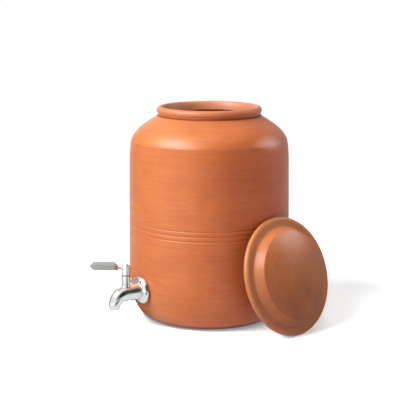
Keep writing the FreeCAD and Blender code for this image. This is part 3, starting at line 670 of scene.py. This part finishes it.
class Shader(Nodes):
    # a Principled material; seat puts its coordinates into a piece's own frame
    def __init__(self, name, seat=None):
        self.material = bpy.data.materials.new(name)
        self.material.use_nodes = True
        super().__init__(self.material.node_tree)
        self.surface = self.tree.nodes["Principled BSDF"]
        self.place = self.node("ShaderNodeTexCoord").outputs["Object"]
        if seat is not None:
            back = seat.inverted()
            own = self.node("ShaderNodeMapping")
            own.inputs["Location"].default_value = back.to_translation()
            own.inputs["Rotation"].default_value = back.to_euler()
            self.link(self.place, own.inputs["Vector"])
            self.place = own.outputs["Vector"]

    def fixed(self, **values):
        for key, value in values.items():
            self.surface.inputs[key.replace("_", " ")].default_value = value

    def drive(self, name, source):
        self.link(source, self.surface.inputs[name])

    def stretched(self, scale):
        mapping = self.node("ShaderNodeMapping")
        mapping.inputs["Scale"].default_value = scale
        self.link(self.place, mapping.inputs["Vector"])
        return mapping.outputs["Vector"]

    def noise(self, vector, scale=1.0, detail=3.0, roughness=0.55):
        made = self.node("ShaderNodeTexNoise")
        made.inputs["Scale"].default_value = scale
        made.inputs["Detail"].default_value = detail
        made.inputs["Roughness"].default_value = roughness
        self.link(vector, made.inputs["Vector"])
        return made.outputs["Fac"]

    def mixed(self, factor, a, b):
        made = self.node("ShaderNodeMix", data_type="RGBA")
        sockets = {socket.identifier: socket for socket in made.inputs}
        for name, value in (("Factor_Float", factor), ("A_Color", a), ("B_Color", b)):
            self.feed(sockets[name], value)
        return next(s for s in made.outputs if s.identifier == "Result_Color")

    def bump(self, height, distance, strength, below=None):
        made = self.node("ShaderNodeBump")
        made.inputs["Distance"].default_value = distance
        made.inputs["Strength"].default_value = strength
        self.link(height, made.inputs["Height"])
        if below is not None:
            self.link(below, made.inputs["Normal"])
        return made.outputs["Normal"]

    def coordinates(self):
        split = self.node("ShaderNodeSeparateXYZ")
        self.link(self.place, split.inputs[0])
        return split.outputs

    def radius(self):
        x, y, _ = self.coordinates()
        squares = self.maths("ADD", self.maths("MULTIPLY", x, x), self.maths("MULTIPLY", y, y))
        return self.maths("SQRT", squares)

    def height(self):
        return self.coordinates()["Z"]


# ---------------------------------------------------------------- materials
def turned(s, across, around):
    # coordinates in which noise makes rings: fine along the profile, slow around it
    x, y, height = s.coordinates()
    made = s.node("ShaderNodeCombineXYZ")
    along = s.maths("ADD", s.maths("MULTIPLY", s.radius(), across), s.maths("MULTIPLY", x, around))
    s.link(along, made.inputs["X"])
    s.link(s.maths("MULTIPLY", height, across), made.inputs["Y"])
    s.link(s.maths("MULTIPLY", y, around), made.inputs["Z"])
    return made.outputs["Vector"]


def make_clay(name, lit_tones, shaded_tones, toward_shade, pale_and_sheen, pale_and_sheen_colour, painted_shade, roughness, coat, coat_roughness,
              seat=None, yellow=None):
    # the functions give the shares over the piece of paler clay (on the pot partly a painted sheen and painted
    # light), of painted shade, and of yellow
    s = Shader(name, seat)
    s.fixed(IOR=CLAY_IOR, Specular_IOR_Level=CLAY_SPECULAR, Coat_Roughness=coat_roughness, Coat_IOR=CLAY_IOR)
    blotches = s.noise(s.stretched(BLOTCHES), detail=4.0, roughness=0.6)
    patches = s.noise(s.stretched(PATCHES), detail=3.0, roughness=0.6)
    rings = s.noise(turned(s, *RINGS), detail=5.0, roughness=0.66)
    strokes = s.noise(turned(s, *STROKES), detail=3.0, roughness=0.6)
    lines = s.noise(turned(s, *LINES), detail=2.0, roughness=0.5)
    grain = s.noise(s.place, GRAIN, detail=3.0, roughness=0.7)

    # painted shade: along the way, the tones change to those of the side in shade
    shaded_share = s.ranged(s.vector_maths("DOT_PRODUCT", s.place, toward_shade), 0.0, 1.0, -DRIFT_REACH, DRIFT_REACH)
    light = s.ranged(blotches, 0.0, 1.0, *MIDDLE)
    colour = s.mixed(shaded_share, s.mixed(light, *lit_tones), s.mixed(light, *shaded_tones))
    colour = s.mixed(s.maths("MULTIPLY", pale_and_sheen(s), s.ranged(rings, *RING_PALE_AND_SHEEN)), colour, pale_and_sheen_colour)
    if yellow is not None:
        colour = s.mixed(yellow(s), colour, CLAY_YELLOW)
    colour = s.mixed(s.ranged(rings, *RING_STREAKS), colour, CLAY_STREAK)
    worn = s.maths("MULTIPLY", s.ranged(strokes, *STROKE_STREAKS), s.ranged(patches, *STREAK_PATCHES))
    colour = s.mixed(worn, colour, CLAY_STREAK)
    colour = s.mixed(s.ranged(patches, *PATCH_FLECKS), colour, CLAY_FLECK)
    colour = s.mixed(s.ranged(grain, *GRAIN_FLECKS), colour, CLAY_FLECK)
    # painted shade: darker colour, and no burnish, where its share is high
    shade_share = painted_shade(s)
    s.drive("Base Color", s.mixed(shade_share, colour, CLAY_PAINTED_SHADE))
    s.drive("Coat Weight", s.ranged(shade_share, coat, 0.0, 0.0, DULL_SHADE))
    s.drive("Roughness", s.ranged(
        strokes, roughness - STROKE_ROUGHNESS, roughness + STROKE_ROUGHNESS, *MIDDLE))
    normal = s.bump(lines, CLAY_RELIEF, LINE_STRENGTH)
    s.drive("Normal", s.bump(grain, CLAY_RELIEF, GRAIN_STRENGTH, normal))
    return s.material


def pot_pale_and_sheen(s):
    # the rim is paler than the wall, a painted sheen, and the throat is paler as bare clay and as painted light
    # where the lamps reach less
    rim = s.ranged(s.height(), 0.0, RIM_PAINTED_SHEEN, RIM_SHEEN_START, POT_HEIGHT - BEAD_RADIUS)
    throat = s.ranged(s.radius(), THROAT_PALE_AND_LIGHT, 0.0, *THROAT_SHARE_RADII)
    high = s.ranged(s.height(), 0.0, 1.0, *THROAT_SHARE_HEIGHTS)
    return s.maths("MAXIMUM", rim, s.maths("MULTIPLY", throat, high))


def pot_yellow(s):
    # the shoulder is more yellow than the wall, and the rim hardly so
    above_edge = s.ranged(s.height(), 0.0, 1.0, *YELLOW_START)
    return s.maths("MULTIPLY", above_edge, s.ranged(s.height(), SHOULDER_YELLOW, RIM_YELLOW, *YELLOW_END))


def near_ring(s, ring, reach):
    # 1 on a circle round the axis, given as radius and height, down to 0 at reach from it
    across = s.maths("SUBTRACT", s.radius(), ring[0])
    above = s.maths("SUBTRACT", s.height(), ring[1])
    squares = s.maths("ADD", s.maths("MULTIPLY", across, across), s.maths("MULTIPLY", above, above))
    return s.ranged(s.maths("SQRT", squares), 1.0, 0.0, 0.0, reach)


def pot_painted_shade(s):
    # painted shade: dark at the foot's edge over the floor, and in the crease under the rim
    crease = s.maths("MULTIPLY", near_ring(s, CREASE, CREASE_SHADE_REACH), CREASE_PAINTED_SHADE)
    return s.maths("MAXIMUM", crease, s.ranged(s.height(), FOOT_PAINTED_SHADE, 0.0, *FOOT_SHADE_HEIGHTS))


def lid_pale(s):
    # the band and the flange are paler than the crown
    return s.ranged(s.radius(), 0.0, LID_BAND_PALE, LID_CROWN_EDGE[0], LID_COVE[0])


def lid_painted_shade(s):
    # painted shade: dark underneath, up to the middle of the flange's edge, where the lid faces the pot
    return s.ranged(s.height(), LID_UNDER_PAINTED_SHADE, 0.0, 0.0, LID_EDGE)


def make_finish(name, values, blotch_scale, tones, roughness, grain_scale, relief):
    s = Shader(name)
    s.fixed(**values)
    blotches = s.noise(s.place, blotch_scale)
    grain = s.noise(s.stretched(grain_scale), detail=2.0)
    s.drive("Base Color", s.mixed(blotches, *tones))
    s.drive("Roughness", s.ranged(blotches, *roughness, *MIDDLE))
    s.drive("Normal", s.bump(grain, *relief))
    return s.material


def make_satin_steel():
    # brushed upright on the lever's grip, and polished on the facets at its two ends
    s = Shader("satin_steel")
    s.fixed(**METAL)
    lever_way = Vector((math.cos(LEVER_BEARING), math.sin(LEVER_BEARING), 0))
    along = s.vector_maths("DOT_PRODUCT", s.place, lever_way)
    middle = Vector(joints["lever_turn"]["pos_m"]).dot(lever_way) + sum(GRIP_FLAT) / 2
    away = s.maths("ABSOLUTE", s.maths("SUBTRACT", along, middle))
    half = (GRIP_FLAT[1] - GRIP_FLAT[0]) / 2
    facet = s.ranged(away, 0.0, 1.0, half, half + FACET_EDGE)
    brushed = s.noise(s.stretched(SATIN_BRUSHING), detail=2.0)
    blotches = s.noise(s.place, SATIN_BLOTCHES)
    s.drive("Base Color", s.mixed(facet, s.mixed(blotches, *SATIN_TONES), FACET_TONE))
    satin = s.ranged(blotches, *SATIN_ROUGHNESS, *MIDDLE)
    s.drive("Roughness", s.maths("MULTIPLY", satin, s.ranged(facet, 1.0, FACET_ROUGHNESS)))
    s.drive("Normal", s.bump(brushed, *SATIN_RELIEF))
    return s.material


def dress_nodes():
    finishes = {name: make_finish(name, *values) for name, values in FINISHES.items()}
    finishes["satin_steel"] = make_satin_steel()
    finishes["clay"] = pot_clay
    for sub in frame["record"]["subparts"]:
        node = nodes[sub["node"]]
        # the thrust washer gets the near-black finish, as painted shade in the gap between hub and bonnet
        finish = "ptfe_painted_shade" if sub["node"] == "thrust_washer" else sub["material_slot"]
        node.data.materials.clear()
        node.data.materials.append(finishes[finish])


# ---------------------------------------------------------------- floor, light, camera
def compass(azimuth, elevation, distance, target):
    # a place seen from target, azimuth as the camera's, in degrees
    a, e = math.radians(azimuth), math.radians(elevation)
    way = Vector((math.sin(a) * math.cos(e), -math.cos(a) * math.cos(e), math.sin(e)))
    return Vector(target) + way * distance


def area_light(name, round_from_camera, elevation, distance, size, power, lights, shines,
               target=(0, 0, POT_HEIGHT / 2)):
    azimuth = math.degrees(CAMERA_AZIMUTH) + round_from_camera
    lamp = bpy.data.lights.new(name, "AREA")
    lamp.shape = "RECTANGLE"
    lamp.size, lamp.size_y = size
    lamp.energy = power
    holder = bpy.data.objects.new(name, lamp)
    holder.location = compass(azimuth, elevation, distance, target)
    holder.rotation_euler = (Vector(target) - holder.location).to_track_quat("-Z", "Y").to_euler()
    holder.visible_diffuse = lights
    holder.visible_glossy = shines
    holder.visible_camera = False
    bpy.context.scene.collection.objects.link(holder)
    return lamp


def make_lights():
    for light in LIGHTS:
        area_light(*light)
    for name, target, round_from_camera, elevation, distance, size, power, spread in BEAMS:
        lamp = area_light(
            name, round_from_camera, elevation, distance, (size, size), power, False, True, target)
        lamp.spread = math.radians(spread)
        lamp.color = BEAM_COLOUR


def studio_seen(n, way, seen, parts):
    # what gloss sees in a direction: seen, times the share that each part gives there
    for round_from_camera, elevation, inner, outer, left in parts:
        azimuth = math.degrees(CAMERA_AZIMUTH) + round_from_camera
        toward = n.vector_maths("DOT_PRODUCT", way, compass(azimuth, elevation, 1, (0, 0, 0)))
        edges = math.cos(math.radians(outer)), math.cos(math.radians(inner))
        seen = n.maths("MULTIPLY", n.eased(toward, 1.0, left, *edges), seen)
    return seen


def make_world():
    # white studio with dim parts, which steel and burnished clay look back at
    world = bpy.data.worlds.new("studio")
    bpy.context.scene.world = world
    world.use_nodes = True
    n = Nodes(world.node_tree)
    background = n.tree.nodes["Background"]
    background.inputs["Color"].default_value = (1, 1, 1, 1)
    way = n.node("ShaderNodeTexCoord").outputs["Generated"]
    path = n.node("ShaderNodeLightPath").outputs
    seen = studio_seen(n, way, GLOSS_WHITE, DIM_PARTS)
    seen = n.maths("MULTIPLY", seen, path["Is Glossy Ray"])
    seen = n.maths("ADD", seen, n.eased(path["Is Glossy Ray"], AMBIENT, 0.0))
    n.link(n.maths("MAXIMUM", seen, path["Is Camera Ray"]), background.inputs["Strength"])


def floor_to_camera(n, place):
    # the shading under the object, a neutral shade where it stands, and plain white further out
    occlusion = n.node("ShaderNodeAmbientOcclusion")
    occlusion.inputs["Distance"].default_value = CONTACT_REACH
    open_share = occlusion.outputs["AO"]
    from_open, to_light = CONTACT_SHADE
    contact = n.emission(n.eased(open_share, *to_light, *from_open))
    lit = n.diffuse(tuple(FLOOR_GAIN * c * t for c, t in zip(FLOOR_COLOUR, FLOOR_TINT)))
    shaded = n.blended(n.eased(open_share, 0.0, 1.0, *CONTACT_OPEN), contact, lit)
    near = n.eased(n.vector_maths("LENGTH", place), SHADOW_SHARE, 0.0, *FLOOR_FADE)
    return n.blended(near, n.emission(1.0), shaded)


def floor_to_gloss(n, place):
    # the studio's parts go on over the floor, as seen from the tap
    from_tap = n.vector_maths("SUBTRACT", place, TAP_PLACE)
    way = n.vector_maths("NORMALIZE", from_tap)
    reach = n.vector_maths("LENGTH", from_tap)
    seen = studio_seen(n, way, FLOOR_IN_GLOSS, DIM_PARTS)
    far_seen = n.maths(
        "MULTIPLY", n.eased(reach, 0.0, 1.0, *FLOOR_DIM_REACH), studio_seen(n, way, seen, FLOOR_LIT_PARTS))
    near_seen = n.maths(
        "MULTIPLY", n.eased(reach, 1.0, 0.0, *FLOOR_DIM_REACH), studio_seen(n, way, seen, FLOOR_DIM_PARTS))
    return n.emission(n.maths("ADD", near_seen, far_seen))


def make_floor():
    # gives one look to the camera, one to gloss, and plain colour to bounced light
    mesh = bpy.data.meshes.new("floor")
    corners = [(x * FLOOR_SIDE, y * FLOOR_SIDE, 0) for x, y in ((-1, -1), (1, -1), (1, 1), (-1, 1))]
    mesh.from_pydata(corners, [], [(0, 1, 2, 3)])
    floor = bpy.data.objects.new("floor", mesh)
    bpy.context.scene.collection.objects.link(floor)
    material = bpy.data.materials.new("studio_floor")
    material.use_nodes = True
    n = Nodes(material.node_tree)
    n.tree.nodes.clear()
    place = n.node("ShaderNodeTexCoord").outputs["Object"]
    path = n.node("ShaderNodeLightPath").outputs
    surface = n.blended(path["Is Glossy Ray"], n.diffuse(FLOOR_COLOUR), floor_to_gloss(n, place))
    seen = floor_to_camera(n, place)
    for ray in ("Is Transmission Ray", "Is Camera Ray"):
        surface = n.blended(path[ray], surface, seen)
    n.link(surface, n.node("ShaderNodeOutputMaterial").inputs["Surface"])
    mesh.materials.append(material)


def make_camera():
    data = bpy.data.cameras.new("camera")
    data.lens = CAMERA_LENS
    data.sensor_width = SENSOR
    holder = bpy.data.objects.new("camera", data)
    holder.location = compass(math.degrees(CAMERA_AZIMUTH), 0, CAMERA_DISTANCE, (0, 0, CAMERA_HEIGHT))
    holder.rotation_euler = (math.pi / 2 - CAMERA_PITCH, 0, CAMERA_AZIMUTH + CAMERA_YAW)
    bpy.context.scene.collection.objects.link(holder)
    bpy.context.scene.camera = holder


pot_clay = make_clay(
    "pot_terracotta", POT_LIT_TONES, POT_SHADED_TONES, POT_TOWARD_SHADE, pot_pale_and_sheen, POT_PALE_AND_SHEEN, pot_painted_shade,
    roughness=0.5, coat=0.8, coat_roughness=0.40, yellow=pot_yellow)
lid_clay = make_clay(
    "lid_terracotta", LID_LIT_TONES, LID_SHADED_TONES, LID_TOWARD_SHADE, lid_pale, LID_PALE, lid_painted_shade,
    roughness=0.55, coat=0.42, coat_roughness=0.33, seat=lid_seat())
dress_nodes()
make_pot()
make_lid()
make_floor()
make_world()
make_camera()
make_lights()

bpy.context.scene.view_settings.view_transform = "Standard"
